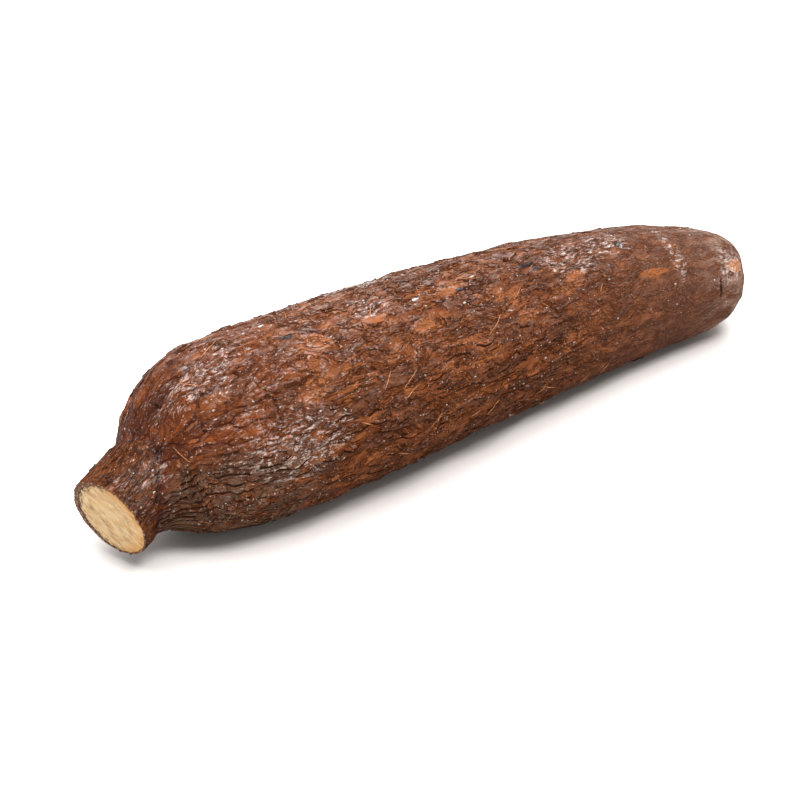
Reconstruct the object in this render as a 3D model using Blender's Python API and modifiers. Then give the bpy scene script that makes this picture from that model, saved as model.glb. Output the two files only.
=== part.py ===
"""A whole cassava root, trimmed from its plant with a short neck left on.

The frame is in metres with +Z up. The root lies on its belly on z = 0. +X runs along it from the
sawn neck to the blunt tail, and the origin is under the middle of its box.
"""

import math

import bmesh
import bpy
from mathutils import Matrix, Vector

MM = 0.001

# Driving dimensions, in millimetres.
# Each ring across the root: along, across, height of its middle, half width, half height,
# and the degrees by which it rises and turns on its way to the tail.
NECK_RINGS = [
    (-157.5, -38.5, 18.9, 16.8, 16.4, 13, 19),
    (-149.5, -35.7, 21.1, 16.5, 16.2, 13, 19),
    (-141, -33, 23.9, 16.2, 16.5, 16, 14),
    (-134, -31.5, 26.4, 17.0, 17.4, 12, 12),
]
SHOULDER_RINGS = [
    (-129, -30.5, 28.5, 19.8, 20.3, 6, 8),
    (-124, -29.5, 31.5, 26.0, 26.0, 0, 5),
    (-116, -29, 34.4, 31.0, 31.0, -2, 2),
    (-103, -29.5, 35.2, 34.6, 34.3, -2, 0),
]
BODY_RINGS = [
    (-84, -30, 35.7, 35.9, 35.7, 0, 0),
    (-50, -30, 35.6, 36.0, 35.6, 0, 2),
    (-5, -26, 34.3, 34.0, 34.3, 0, 5),
    (45, -21, 31.6, 31.0, 31.6, 0, 3),
    (92, -19, 28.0, 27.5, 27.8, 0, -2),
]
TAIL_RINGS = [
    (124, -21, 24.7, 24.0, 23.7, -3, -12),
    (139, -25, 23.0, 21.0, 20.5, -5, -20),
    (148, -28.5, 22.0, 15.0, 14.5, -5, -25),
    (151, -30, 21.5, 7.0, 7.0, -5, -25),
]
NECK_CUT_RING = 1  # the neck is sawn square through this ring
BELLY_PRESS = 0.6  # how much of the belly is flattened where the root rests
RING_SIDES = 12
SMOOTHING = 2  # levels of subdivision
CUTTER_SIZE = 500.0

# Broad swellings: along, degrees round from the top towards +Y, height, length and width in degrees
SWELLINGS = [
    (-95, 20, 0.8, 24, 50),
    (-30, -40, 0.9, 26, 45),
    (18, 60, 1.2, 30, 55),
    (30, -60, -0.9, 26, 50),
    (76, -10, 1.2, 26, 40),
    (-60, 150, 1.1, 34, 60),
    (112, 120, 1.0, 22, 55),
]

BARK_COLOUR = (0.17, 0.07, 0.04, 1.0)
BARK_ROUGHNESS = 0.55


def clear_scene():
    for obj in list(bpy.data.objects):
        bpy.data.objects.remove(obj, do_unlink=True)


def new_collection(name):
    collection = bpy.data.collections.new(name)
    bpy.context.scene.collection.children.link(collection)
    return collection


def bark_material():
    material = bpy.data.materials.new("cassava_bark")
    material.use_nodes = True
    shader = material.node_tree.nodes["Principled BSDF"]
    shader.inputs["Base Color"].default_value = BARK_COLOUR
    shader.inputs["Roughness"].default_value = BARK_ROUGHNESS
    shader.inputs["Metallic"].default_value = 0.0
    return material


def ring_frame(ring):
    """The ring's local X across the root, Y up through it and Z along the root."""
    along, across, height, _, _, rise, turn = ring
    rise = math.radians(rise)
    turn = math.radians(turn)
    forward = Vector((math.cos(rise) * math.cos(turn), math.cos(rise) * math.sin(turn), math.sin(rise)))
    across_axis = Vector((0.0, 0.0, 1.0)).cross(forward).normalized()
    up_axis = forward.cross(across_axis)
    frame = Matrix((across_axis, up_axis, forward)).transposed().to_4x4()
    frame.translation = Vector((along, across, height - BELLY_PRESS)) * MM
    return frame


def swelling_at(along, degrees):
    """How far the surface stands proud of a plain ring here, in millimetres."""
    total = 0.0
    for centre, facing, height, length, spread in SWELLINGS:
        turned = (degrees - facing + 180.0) % 360.0 - 180.0
        total += height * math.exp(-(((along - centre) / length) ** 2) - (turned / spread) ** 2)
    return total


def cage_swell():
    """A subdivided ring lies inside the cage by this factor."""
    return 6.0 / (4.0 + 2.0 * math.cos(math.tau / RING_SIDES))


def add_ring(mesh, ring):
    """One ring of cage points, and its edges."""
    _, _, _, half_width, half_height, _, _ = ring
    made = bmesh.ops.create_circle(mesh, cap_ends=False, segments=RING_SIDES, radius=1.0)
    points = made["verts"]
    frame = ring_frame(ring)
    for point in points:
        degrees = math.degrees(math.atan2(point.co.x, point.co.y))
        proud = swelling_at(ring[0], degrees)
        x = point.co.x * (half_width + proud) * MM * cage_swell()
        y = point.co.y * (half_height + proud) * MM * cage_swell()
        point.co = frame @ Vector((x, y, 0.0))
    return list({edge for point in points for edge in point.link_edges})


def root_mesh(rings):
    """A closed cage: rings bridged one to the next, and a face over each end."""
    mesh = bmesh.new()
    loops = [add_ring(mesh, ring) for ring in rings]
    for near, far in zip(loops, loops[1:]):
        bmesh.ops.bridge_loops(mesh, edges=near + far)
    for end in (loops[0], loops[-1]):
        bmesh.ops.contextual_create(mesh, geom=end)
    bmesh.ops.recalc_face_normals(mesh, faces=mesh.faces)
    data = bpy.data.meshes.new("cassava_root")
    mesh.to_mesh(data)
    mesh.free()
    return data


def block(name, frame, collection):
    """A cutter block whose top face lies on the frame's XY plane."""
    mesh = bmesh.new()
    size = CUTTER_SIZE * MM
    bmesh.ops.create_cube(mesh, size=size, matrix=frame @ Matrix.Translation((0.0, 0.0, -size / 2)))
    data = bpy.data.meshes.new(name)
    mesh.to_mesh(data)
    mesh.free()
    cutter = bpy.data.objects.new(name, data)
    cutter.hide_render = True
    cutter.display_type = "WIRE"
    collection.objects.link(cutter)
    return cutter


def cut_with(obj, cutter):
    cut = obj.modifiers.new(cutter.name, "BOOLEAN")
    cut.operation = "DIFFERENCE"
    cut.solver = "EXACT"
    cut.object = cutter


def evaluated_box(obj):
    bpy.context.view_layer.update()
    evaluated = obj.evaluated_get(bpy.context.evaluated_depsgraph_get())
    corners = [evaluated.matrix_world @ Vector(corner) for corner in evaluated.bound_box]
    lowest = Vector(min(corner[axis] for corner in corners) for axis in range(3))
    highest = Vector(max(corner[axis] for corner in corners) for axis in range(3))
    return lowest, highest


def centre_over_origin(root, others):
    """Moves the root and what cuts it so that the origin is under the middle of its box."""
    lowest, highest = evaluated_box(root)
    middle = (lowest + highest) / 2
    for obj in [root, *others]:
        obj.location = (-middle.x, -middle.y, 0.0)


def build():
    clear_scene()
    parts = new_collection("cassava_root")
    cutters = new_collection("cassava_cutters")
    rings = NECK_RINGS + SHOULDER_RINGS + BODY_RINGS + TAIL_RINGS
    root = bpy.data.objects.new("cassava_root", root_mesh(rings))
    root.data.materials.append(bark_material())
    root.data.shade_smooth()
    parts.objects.link(root)
    smooth = root.modifiers.new("smooth", "SUBSURF")
    smooth.levels = SMOOTHING
    smooth.render_levels = SMOOTHING
    neck_saw = block("neck_saw", ring_frame(NECK_RINGS[NECK_CUT_RING]), cutters)
    floor = block("resting_floor", Matrix.Identity(4), cutters)
    cut_with(root, neck_saw)
    cut_with(root, floor)
    centre_over_origin(root, [neck_saw, floor])


build()
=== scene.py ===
"""Looks of a whole cassava root lying on a pale floor.

The root's solid gives the base shape. Its bark is one skin over that shape, worked out ring by ring
from the sawn neck to the tail: broad swellings, furrows, cracked plates and torn layers stand in the
mesh, and the finish follows the same layers. Lengths on the bark are in millimetres.
"""

import itertools
import math
from types import SimpleNamespace

import bpy
import numpy as np
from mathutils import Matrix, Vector
from mathutils.bvhtree import BVHTree


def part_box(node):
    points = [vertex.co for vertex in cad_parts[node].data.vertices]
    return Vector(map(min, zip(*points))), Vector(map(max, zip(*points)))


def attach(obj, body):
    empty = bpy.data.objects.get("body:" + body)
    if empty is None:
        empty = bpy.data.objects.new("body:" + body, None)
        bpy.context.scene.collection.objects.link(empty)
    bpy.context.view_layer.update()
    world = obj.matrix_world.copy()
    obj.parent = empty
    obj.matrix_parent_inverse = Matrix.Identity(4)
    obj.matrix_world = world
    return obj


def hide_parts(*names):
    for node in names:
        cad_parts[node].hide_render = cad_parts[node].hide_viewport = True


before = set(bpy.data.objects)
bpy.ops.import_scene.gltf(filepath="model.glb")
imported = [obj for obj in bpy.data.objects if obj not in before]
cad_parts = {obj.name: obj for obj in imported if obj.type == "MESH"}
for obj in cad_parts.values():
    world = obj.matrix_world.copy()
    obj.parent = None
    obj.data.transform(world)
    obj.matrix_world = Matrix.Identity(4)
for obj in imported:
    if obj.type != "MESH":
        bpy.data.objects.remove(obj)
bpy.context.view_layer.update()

MM = 0.001
BODY = "root"
NODE = "cassava_root"

# The spine that the bark's rings stand on
SPINE_STEP = 4.0
SPINE_START = 16.0  # its second point lies this far behind the sawn face
TAIL_CENTRE = 23.0  # its last point lies this far inside the tail
FACE_TURN = 34.0  # its rings turn from the sawn face's slant to its own over this length
FACE_NEAR = 13.0  # the sawn face lies within this of the root's end

# The bark's mesh
COLUMNS = 448
RING_STEP = 0.40
LENGTHS = ["bark_neck_end", "bark_shoulder", "bark_middle", "bark_tail_end"]  # each under 200,000 triangles
FACE_GAP = 0.3  # the first ring lies this far behind the sawn face
FACET_BLUR = 2.2  # takes the solid's facets off the skin
BARK_SINK = 0.25  # the relief sinks by this, so that as much of it lies under the solid's face as over
FLOOR_GAP = 0.05

# The bark's relief: how wide things are, and how high or deep
LEDGES = 62  # round the root
LEDGE_HEIGHT = 0.85
PLATE = 5.4
PLATE_STEP = 1.2
PLATE_SLANT = 2.2
PLATE_CRACK = (0.38, 0.55)  # half width, depth
CHIP = 2.6
CHIP_STEP = 0.30
CHIP_SLANT = 0.9
CHIP_CRACK = (0.26, 0.15)
LARGE_TEAR = 4.6
LARGE_TEAR_STEP = 0.42
SMALL_TEAR = 2.0
SMALL_TEAR_STEP = 0.15
CURL_HEIGHT = 0.32
SWELL_HEIGHT = 0.9
FOLD_DEPTH = 1.3
CREASE_DEPTH = 0.8
CRUST_HEIGHT = 0.9

# The sawn neck
RIM_RINGS = 24
RIM_WIDTH = 0.8  # the bark's sawn edge, seen on the face
RIM_REACH = 1.2  # its rings run this share of its width inwards, past the groove
WOOD_RINGS = 60
WOOD_COLUMNS = 224
STREAK_TURN = math.radians(52.0)  # the wood's streaks, from upright towards +Y

# Loose bits
FLAKES = 1300
CRUMBS = 850
FIBRES = 95


# ---------------------------------------------------------------------------------------------
# Noise over points in millimetres


def lattice_bits(cells, seed):
    """A well mixed 32-bit number for each whole-numbered cell."""
    with np.errstate(over="ignore"):
        bits = cells[..., 0].astype(np.uint32) * np.uint32(0x8DA6B343)
        bits ^= cells[..., 1].astype(np.uint32) * np.uint32(0xD8163841)
        bits ^= cells[..., 2].astype(np.uint32) * np.uint32(0xCB1AB31F)
        bits += np.uint32(seed * 7919 + 101)
        bits ^= bits >> np.uint32(15)
        bits *= np.uint32(0x2C1B3C6D)
        bits ^= bits >> np.uint32(12)
        bits *= np.uint32(0x297A2D39)
        bits ^= bits >> np.uint32(15)
    return bits


def three_fractions(bits):
    """Three numbers from 0 to 1 out of each set of bits."""
    parts = [(bits >> np.uint32(shift)) & np.uint32(1023) for shift in (0, 10, 20)]
    return np.stack(parts, axis=-1).astype(np.float32) / np.float32(1023)


def noise(points, seed):
    """Gradient noise, about -1 to 1, over points one unit apart."""
    cells = np.floor(points).astype(np.int32)
    inside = (points - cells).astype(np.float32)
    fade = inside * inside * inside * (inside * (inside * 6 - 15) + 10)
    total = np.zeros(points.shape[:-1], np.float32)
    for corner in itertools.product((0, 1), repeat=3):
        offset = np.array(corner)
        slope = three_fractions(lattice_bits(cells + offset, seed)) * 2 - 1
        value = ((inside - offset.astype(np.float32)) * slope).sum(-1)
        weight = np.where(offset == 1, fade, 1 - fade).prod(-1)
        total += weight * value
    return total * 1.6


def layered_noise(points, seed, octaves=3, fall=0.5):
    """Noise with finer and weaker noise on it, about -1 to 1."""
    growth = 2.1
    shift = 17.3
    total = np.zeros(points.shape[:-1], np.float32)
    height = 1.0
    reach = 0.0
    for octave in range(octaves):
        total += height * noise(points * growth**octave + octave * shift, seed + octave)
        reach += height
        height *= fall
    return total / reach * 1.4


def wander(points, apart, seed):
    """A vector of noise at every point."""
    return np.stack([noise(points + apart * axis, seed + axis) for axis in range(3)], -1)


def cracked_cells(points, seed):
    """Irregular cells: how far the nearest crack is, three random numbers of the cell, place within it."""
    cells = np.floor(points).astype(np.int32)
    nearest = np.full(points.shape[:-1], 9.0, np.float32)
    second = nearest.copy()
    chosen = np.zeros(points.shape, np.float32)
    within = np.zeros(points.shape, np.float32)
    for step in itertools.product((-1, 0, 1), repeat=3):
        cell = cells + np.array(step)
        own = three_fractions(lattice_bits(cell, seed))
        offset = points - cell - own
        distance = np.sqrt((offset**2).sum(-1)).astype(np.float32)
        closer = distance < nearest
        second = np.where(closer, nearest, np.minimum(second, distance))
        nearest = np.where(closer, distance, nearest)
        chosen = np.where(closer[..., None], own, chosen)
        within = np.where(closer[..., None], offset, within)
    return second - nearest, chosen, within


def ease(low, high, value):
    """0 up to low, 1 from high on, and a smooth climb between."""
    share = np.clip((value - low) / (high - low), 0.0, 1.0)
    return share * share * (3 - 2 * share)


def bump(centre, width, value):
    """1 at the centre, falling off smoothly on both sides."""
    return np.exp(-(((value - centre) / width) ** 2))


# ---------------------------------------------------------------------------------------------
# The base shape, read from the root's solid


def unit(vectors):
    """Vectors at length 1."""
    return vectors / np.linalg.norm(vectors, axis=-1, keepdims=True)


def bell(width):
    """Shifts and weights of a running mean."""
    reach = int(3 * width)
    shifts = np.arange(-reach, reach + 1)
    weights = np.exp(-0.5 * (shifts / width) ** 2)
    return shifts, weights / weights.sum()


def soften(rows, width):
    """A running mean along the first axis, which keeps straight lines straight up to their ends."""
    shifts, weights = bell(width)
    reach = shifts[-1]
    lead = 2 * rows[:1] - rows[reach:0:-1]
    trail = 2 * rows[-1:] - rows[-2:-reach - 2:-1]
    padded = np.concatenate([lead, rows, trail])
    return sum(w * padded[i:i + len(rows)] for i, w in enumerate(weights))


def soften_round(table, width):
    """A running mean along the second axis, which closes round."""
    return sum(w * np.roll(table, shift, axis=1) for shift, w in zip(*bell(width)))


def interpolate(places, stops, points):
    """Points of a line at these places along it."""
    return np.stack([np.interp(places, stops, points[:, axis]) for axis in range(3)], -1)


class RootShape:
    """The root's solid as distances from a spine: rings square to it, then a fan round the tail."""

    def __init__(self, node):
        mesh = node.data
        self.low, self.high = (np.array(corner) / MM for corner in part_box(NODE))
        corners = [vertex.co / MM for vertex in mesh.vertices]
        self.tree = BVHTree.FromPolygons(corners, [tuple(face.vertices) for face in mesh.polygons])
        self.find_sawn_face(mesh)
        self.lay_spine()

    def find_sawn_face(self, mesh):
        """Middle and outward normal of the flat face at the neck."""
        reach = self.low[0] + FACE_NEAR
        flat = [f for f in mesh.polygons if f.normal.x < -0.85 and f.center.x / MM < reach]
        areas = np.array([face.area for face in flat])
        centres = np.array([face.center[:] for face in flat]) / MM
        normals = np.array([face.normal[:] for face in flat])
        self.face_centre = (centres * areas[:, None]).sum(0) / areas.sum()
        self.face_normal = unit((normals * areas[:, None]).sum(0))

    def middle_of_section(self, x, guess):
        """Middle of the solid where the plane of this x cuts it."""
        passes = 3
        rays = 24
        centre = np.array([x, guess[1], guess[2]])
        for _ in range(passes):
            hits = []
            for turn in np.linspace(0, math.tau, rays, endpoint=False):
                way = Vector((0.0, math.cos(turn), math.sin(turn)))
                hits.append(self.tree.ray_cast(Vector(centre), way)[0][:])
            centre = (np.max(hits, axis=0) + np.min(hits, axis=0)) / 2
            centre[0] = x
        return centre

    def lay_spine(self):
        """The spine: a smooth line through the middles of the root's sections, one point a millimetre."""
        first = self.face_centre[0] + SPINE_START
        last = self.high[0] - TAIL_CENTRE
        xs = np.linspace(first, last, int((last - first) / SPINE_STEP))
        points = [self.face_centre]
        for x in xs:
            points.append(self.middle_of_section(x, points[-1]))
        points = np.array(points)
        run = np.concatenate([[0], np.cumsum(np.linalg.norm(np.diff(points, axis=0), axis=1))])
        self.run = np.arange(0, run[-1], 1.0)
        self.spine = soften(interpolate(self.run, run, points), 7.0)
        self.spine[0] = self.face_centre
        ways = unit(np.gradient(self.spine, axis=0))
        share = ease(0.0, FACE_TURN, self.run)[:, None]
        self.ways = unit(-self.face_normal * (1 - share) + ways * share)

    def frames(self, along):
        """Centre, forward, across and up for distances along the spine; past its end, the fan's."""
        inner = np.clip(along, 0, self.run[-1])
        centre = interpolate(inner, self.run, self.spine)
        forward = unit(interpolate(inner, self.run, self.ways))
        across = unit(np.cross([0.0, 0.0, 1.0], forward))
        up = np.cross(forward, across)
        return centre, forward, across, up

    def rays(self, along, turns):
        """Start and direction of the rays that find the skin."""
        centre, forward, across, up = self.frames(along)
        over = np.clip((along - self.run[-1]) / TAIL_CENTRE, 0.0, 1.0) * math.pi / 2
        turns = turns[None, :, None]
        radial = up[:, None] * np.cos(turns) - across[:, None] * np.sin(turns)
        lean = over[:, None, None]
        return centre, radial * np.cos(lean) + forward[:, None] * np.sin(lean)

    def distances(self, along, turns):
        """Distance from the spine to the solid's face, for each place along and each turn."""
        centre, ways = self.rays(along, turns)
        table = np.zeros(ways.shape[:2])
        for i, start in enumerate(centre):
            start = Vector(start)
            for j, way in enumerate(ways[i]):
                hit = self.tree.ray_cast(start, Vector(way))
                table[i, j] = hit[3] if hit[3] is not None else table[i, j - 1]
        return table

    def skin(self, columns, step):
        """Even rings over the whole root: their points, how far along it they lie, and their turns."""
        turns = math.pi + np.arange(columns) * math.tau / columns
        rough_rings = 170
        whole = (self.run[-1] + TAIL_CENTRE) * 0.9995
        rough = np.linspace(FACE_GAP, whole, rough_rings)
        rough_turns = turns[::columns // 20]
        centre, ways = self.rays(rough, rough_turns)
        points = centre[:, None] + ways * self.distances(rough, rough_turns)[..., None]
        strides = np.linalg.norm(np.diff(points, axis=0), axis=-1).mean(1)
        walked = np.concatenate([[0], np.cumsum(strides)])
        rings = int(walked[-1] / step) + 1
        even = np.linspace(0, walked[-1], rings)
        along = np.interp(even, walked, rough)
        centre, ways = self.rays(along, turns)
        table = self.distances(along, turns)
        blur = FACET_BLUR / step
        round_only = soften_round(table, blur)
        both_ways = soften_round(soften(table, blur), blur)
        near_face = np.exp(-even / 2.0)[:, None]
        table = both_ways * (1 - near_face) + round_only * near_face
        return centre[:, None] + ways * table[..., None], even, turns


def outward(points):
    """Normals of a grid of rings that closes round."""
    along = np.gradient(points, axis=0)
    round_ = np.roll(points, -1, axis=1) - np.roll(points, 1, axis=1)
    return unit(np.cross(round_, along) + 1e-12)


# ---------------------------------------------------------------------------------------------
# The bark


class Bark:
    """Relief of the bark over the base skin, and the masks that its finish follows."""

    # Places: mm from the sawn face, degrees round from the top towards -Y, size along, size round
    PEELED = [
        (89, 24, 7, 5),
        (132, 36, 6, 3.5),
        (153, 17, 9, 2.5),
        (211, 35, 7, 3),
        (50, 33, 6, 3),
        (116, 20, 6, 3),
        (179, 52, 6, 3),
        (250, 48, 8, 2.5),
        (140, 205, 8, 5),
        (86, 285, 8, 5),
        (200, 300, 7, 4),
        (236, 250, 6, 4),
    ]
    POWDER_AND_SHEEN = [
        # painted highlight: this patch of caked wax on the neck stands for the sheen on its lit side
        (17, 45, 8, 6),
        (215, 17, 16, 9),
        (236, 10, 12, 8),
        (266, 30, 4, 16),
        (48, 12, 14, 9),
        (118, 12, 9, 5),
        (70, 78, 22, 14),
        (296, 50, 8, 9),
        (130, 330, 20, 10),
        (250, 270, 22, 10),
    ]
    SMUDGES = [
        (157, 19, 2.6, 0.9),
        (193, 15, 4.4, 0.9),
        (196, 20, 2.2, 0.8),
        (241, 16, 2.0, 1.6),
        (82, 12, 2.4, 1.4),
        (178, 262, 3.0, 1.0),
        (102, 310, 3.0, 1.2),
    ]
    SCARS = [(299, 53, 6, 3.2)]
    CREASES = [(288.5, 76, 1.0, 5.0)]
    # Where the neck meets the shoulder: degrees round from the top, mm from the sawn face
    FOLD = [(0, 25), (26, 25), (50, 19), (62, 13), (90, 8.5), (115, 7), (180, 11), (250, 18), (330, 22)]
    FOLD += [(360, 25)]
    # How the grain is drawn out: mm from the sawn face, radius it is laid at, share of its length left
    LAY = [
        (0, 17, 0.20),
        (22, 19, 0.24),
        (34, 23, 0.44),
        (60, 28, 0.42),
        (95, 30, 0.36),
        (235, 29, 0.36),
        (300, 20, 0.40),
        (329, 2, 0.60),
    ]

    # Where the regions fade out: mm from the sawn face, or mm back from the tail's tip
    SHOULDER_END = (60.0, 94.0)
    NEAR_FOLD_END = (38.0, 58.0)
    TAIL_START = (150.0, 45.0)
    DUST_START = (55.0, 25.0)

    def __init__(self, base, along, turns):
        self.base = base
        self.along = along[:, None] + 0 * turns[None, :]
        self.turns = turns[None, :]
        centre = base.mean(axis=1, keepdims=True)
        self.radius = np.linalg.norm(base - centre, axis=-1).mean(axis=1)[:, None]
        self.arc = self.radius * math.tau / base.shape[1]
        self.step = along[1] - along[0]
        self.normals = outward(base)
        self.set_regions()
        self.set_grain()
        self.raise_relief()

    def turned_from(self, degrees):
        """Turn from a place round the root, from minus half a turn to half a turn."""
        return (self.turns - math.radians(degrees) + math.pi) % math.tau - math.pi

    def set_regions(self):
        """How much each point belongs to the neck, the shoulder, the tail and the rest, from 0 to 1."""
        from_tip = self.along[-1, 0] - self.along
        degrees, places = zip(*self.FOLD)
        fold = np.interp(np.degrees(self.turns[0]) % 360, degrees, places)
        fold = soften_round(fold[None], self.base.shape[1] / 30)
        past = self.along - fold - 1.2 * noise(self.laid_out(20.0) / 5.0, 7)
        self.neck = 1 - ease(-1.5, 2.0, past)
        self.fold = np.exp(-((past / np.where(past > 0, 4.0, 2.0)) ** 2))
        self.shoulder = ease(-1.0, 3.0, past) * (1 - ease(*self.SHOULDER_END, self.along))
        self.tail = ease(*self.TAIL_START, from_tip)
        self.neck_shine = self.neck * bump(math.radians(46.0), math.radians(26.0), self.turned_from(0.0))
        self.under = ease(-0.1, 0.75, -self.normals[..., 2])
        self.flank = ease(0.0, 0.6, 0.75 - self.normals[..., 2])
        self.belly = ease(-0.48, -0.12, -self.normals[..., 2]) * self.shoulder
        self.upper = ease(0.15, 0.8, self.normals[..., 2])
        self.dusty = ease(*self.DUST_START, from_tip)
        self.near_fold = self.shoulder * (1 - ease(*self.NEAR_FOLD_END, self.along)) * (1 - self.belly)

    def laid_out(self, radius):
        """Every point, moved to a straight round bar of this radius."""
        place = [self.along, radius * np.cos(self.turns), radius * np.sin(self.turns)]
        return np.stack(np.broadcast_arrays(*place), axis=-1)

    def set_grain(self):
        """Coordinates in mm that waver with the fibres, and the same drawn out along the root."""
        stops, radii, shares = (np.array(values, float) for values in zip(*self.LAY))
        run = self.along[:, 0]
        laid = np.interp(run, stops, radii)[:, None]
        drawn = np.cumsum(np.interp(run, stops, shares)) * self.step
        straight = self.laid_out(laid)
        slow = wander(straight * (0.05, 0.10, 0.10), 40, 11)
        quick = wander(straight * (0.14, 0.34, 0.34), 40, 21)
        self.grain = straight + 2.6 * slow + 0.8 * quick
        self.long = self.grain.copy()
        self.long[..., 0] = drawn[:, None] + 0.25 * (self.grain[..., 0] - self.along)

    def slope(self, field):
        """Size of a field's slope, per millimetre."""
        down = np.gradient(field, axis=0) / self.step
        round_ = (np.roll(field, -1, axis=1) - np.roll(field, 1, axis=1)) / (2 * self.arc)
        return np.sqrt(down**2 + round_**2) + 0.02

    def places(self, spots, seed):
        """A ragged-edged mask of a list of named places."""
        ragged = 0.35 * layered_noise(self.long / 2.0, seed, 3)
        total = np.zeros_like(self.neck)
        for along, degrees, length, width in spots:
            around = self.turned_from(degrees) * self.radius
            reach = np.sqrt(((self.along - along) / length) ** 2 + (around / width) ** 2)
            total = np.maximum(total, 1 - ease(0.7, 1.05, reach + ragged))
        return total

    def plates(self, size, seed, rag):
        """Irregular plates: how far inside its plate each point is, the plate's own number, its tilt."""
        ragged = rag * wander(self.long / (0.4 * size), 60, seed)
        gap, own, within = cracked_cells(self.long / size + ragged, seed + 5)
        tilt = ((own[..., [1, 2, 0]] - 0.5) * within).sum(-1)
        return gap * size, own[..., 0], tilt

    def smoothed(self, field, reach):
        """A field averaged over about this many millimetres."""
        return soften_round(soften(field, reach / self.step), reach / 0.45)

    def torn_layers(self, size, seed, spacing):
        """Terraces of torn bark: each point's level, and how far past the nearest edge it lies."""
        field = layered_noise(self.long * (0.7, 1, 1) / size, seed, 4, 0.45)
        level = field / spacing
        nearest = np.round(level)
        signed = (level - nearest) * spacing / self.slope(self.smoothed(field, 0.4))
        return nearest - 1 + ease(-0.2, 0.2, signed), signed

    def ledges(self):
        """Overlapping ledges along the root: their height, how far the nearest foot is, where they show."""
        drawn = self.long * (1.6, 1, 1)
        waver = 0.8 * noise(drawn / 10.0, 55) + 0.35 * noise(drawn / 2.6, 56)
        climb = self.turns * LEDGES / math.tau + waver
        up = climb % 1.0
        broken = noise(self.long * (0.8, 1, 1) / 3.0, 57)
        body = ease(0.85, 0.45, self.normals[..., 2]) * (1 - self.neck - self.shoulder) * (1 - self.tail)
        there = ease(-0.35, -0.05, broken) * self.belly + ease(0.0, 0.22, broken) * np.clip(body, 0, 1)
        rise = ease(0.0, 0.16, up) * (0.4 + 0.6 * up)
        away = ((up + 0.5) % 1.0 - 0.5) / self.slope(climb)
        return (rise - 0.4) * there, away - 0.2, there

    def raise_relief(self):
        """Height of the bark over the base skin, and the masks that go with it."""
        self.peeled = self.places(self.PEELED, 91)
        self.powder = self.places(self.POWDER_AND_SHEEN, 95)
        self.smudge = self.places(self.SMUDGES, 97)
        self.scar = self.places(self.SCARS, 99)
        self.crease = self.places(self.CREASES, 103)
        calm = (1 - 0.8 * self.peeled) * (1 - 0.8 * self.tail)
        plate_share = np.clip(0.06 + 0.62 * self.shoulder * (1 - 0.7 * self.belly), 0, 1) * calm
        layer_share = (1 - 0.85 * self.shoulder - 0.5 * self.neck) * calm
        swell = SWELL_HEIGHT * layered_noise(self.grain / 36.0, 61, 2) + 0.35 * noise(self.long / 5.0, 65)
        wave = np.abs(noise(self.long * (0.5, 1, 1) / 1.7, 34))
        furrows = 1.8 * np.minimum(wave, 0.35) * (0.35 * self.neck + 0.04)
        ledge, self.ledge_foot, self.ledge_share = self.ledges()
        rim = bump(1.5, 3.0, self.along)
        self.crust = rim * bump(math.radians(35.0), math.radians(60.0), self.turned_from(0.0))
        crust = CRUST_HEIGHT * self.crust * layered_noise(self.grain / 1.8, 81, 2)
        fine_share = 0.4 - 0.3 * self.shoulder + self.neck
        fine = layered_noise(self.long / 0.9, 77, 2, 0.6) * fine_share
        plates, plate_cracks = self.raise_plates()
        height = swell * (1 - 0.6 * self.neck) + plates * plate_share + self.raise_layers() * layer_share
        height = height + furrows + LEDGE_HEIGHT * ledge + crust + 0.10 * fine
        height = height - CREASE_DEPTH * self.crease - FOLD_DEPTH * self.fold * (1 - 0.4 * self.under)
        proud = height - self.smoothed(height, 0.9)
        self.crest = ease(0.05, 0.30, proud)
        hollow = ease(0.04, 0.34, -proud)
        grooves = bump(0.0, 0.09, wave) * 0.4 * self.neck
        # The crack mask also holds painted shade: the hollows of the relief are darkened like the cracks.
        self.crack = np.max([plate_cracks * plate_share * 0.8, grooves, 0.50 * hollow], axis=0)
        self.height = height - BARK_SINK

    def raise_layers(self):
        """Height of the torn layers, large and small, with their edges curled up."""
        self.level, large_edge = self.torn_layers(LARGE_TEAR, 31, 0.40)
        small_level, small_edge = self.torn_layers(SMALL_TEAR, 131, 0.62)
        closer = np.abs(small_edge) < np.abs(large_edge)
        self.small = np.where(closer, 1.0, 0.0)
        self.edge = np.where(closer, small_edge, large_edge)
        tall = 0.35 + 1.0 * ease(-0.25, 0.45, noise(self.grain / 10.0, 37))
        curled = ease(-0.1, 0.5, noise(self.long / 3.0, 38)) * (1 - 0.6 * self.small)
        curl = np.where(self.edge > 0, np.exp(-self.edge / 0.9), 0.0) * curled
        return LARGE_TEAR_STEP * tall * self.level + SMALL_TEAR_STEP * small_level + CURL_HEIGHT * curl

    def raise_plates(self):
        """Height of the plates with the chips on them, and the depth of the cracks between them."""
        plate_in, plate_own, plate_tilt = self.plates(PLATE, 41, 0.09)
        chip_in, chip_own, chip_tilt = self.plates(CHIP, 45, 0.10)
        plate_crack = bump(0.0, PLATE_CRACK[0], plate_in)
        chip_crack = bump(0.0, CHIP_CRACK[0], chip_in)
        self.plate_in = np.minimum(plate_in, 2.0)
        self.chip_in = np.minimum(chip_in, 2.0)
        self.tone = 0.6 * plate_own + 0.4 * chip_own
        plates = PLATE_STEP * (plate_own - 0.5) + PLATE_SLANT * plate_tilt - PLATE_CRACK[1] * plate_crack
        chips = CHIP_STEP * (chip_own - 0.5) + CHIP_SLANT * chip_tilt - CHIP_CRACK[1] * chip_crack
        return plates + chips * (1 - 0.6 * self.near_fold), np.maximum(plate_crack, 0.6 * chip_crack)

    def surface(self):
        """The bark's points."""
        return self.base + self.normals * self.height[..., None]


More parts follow.
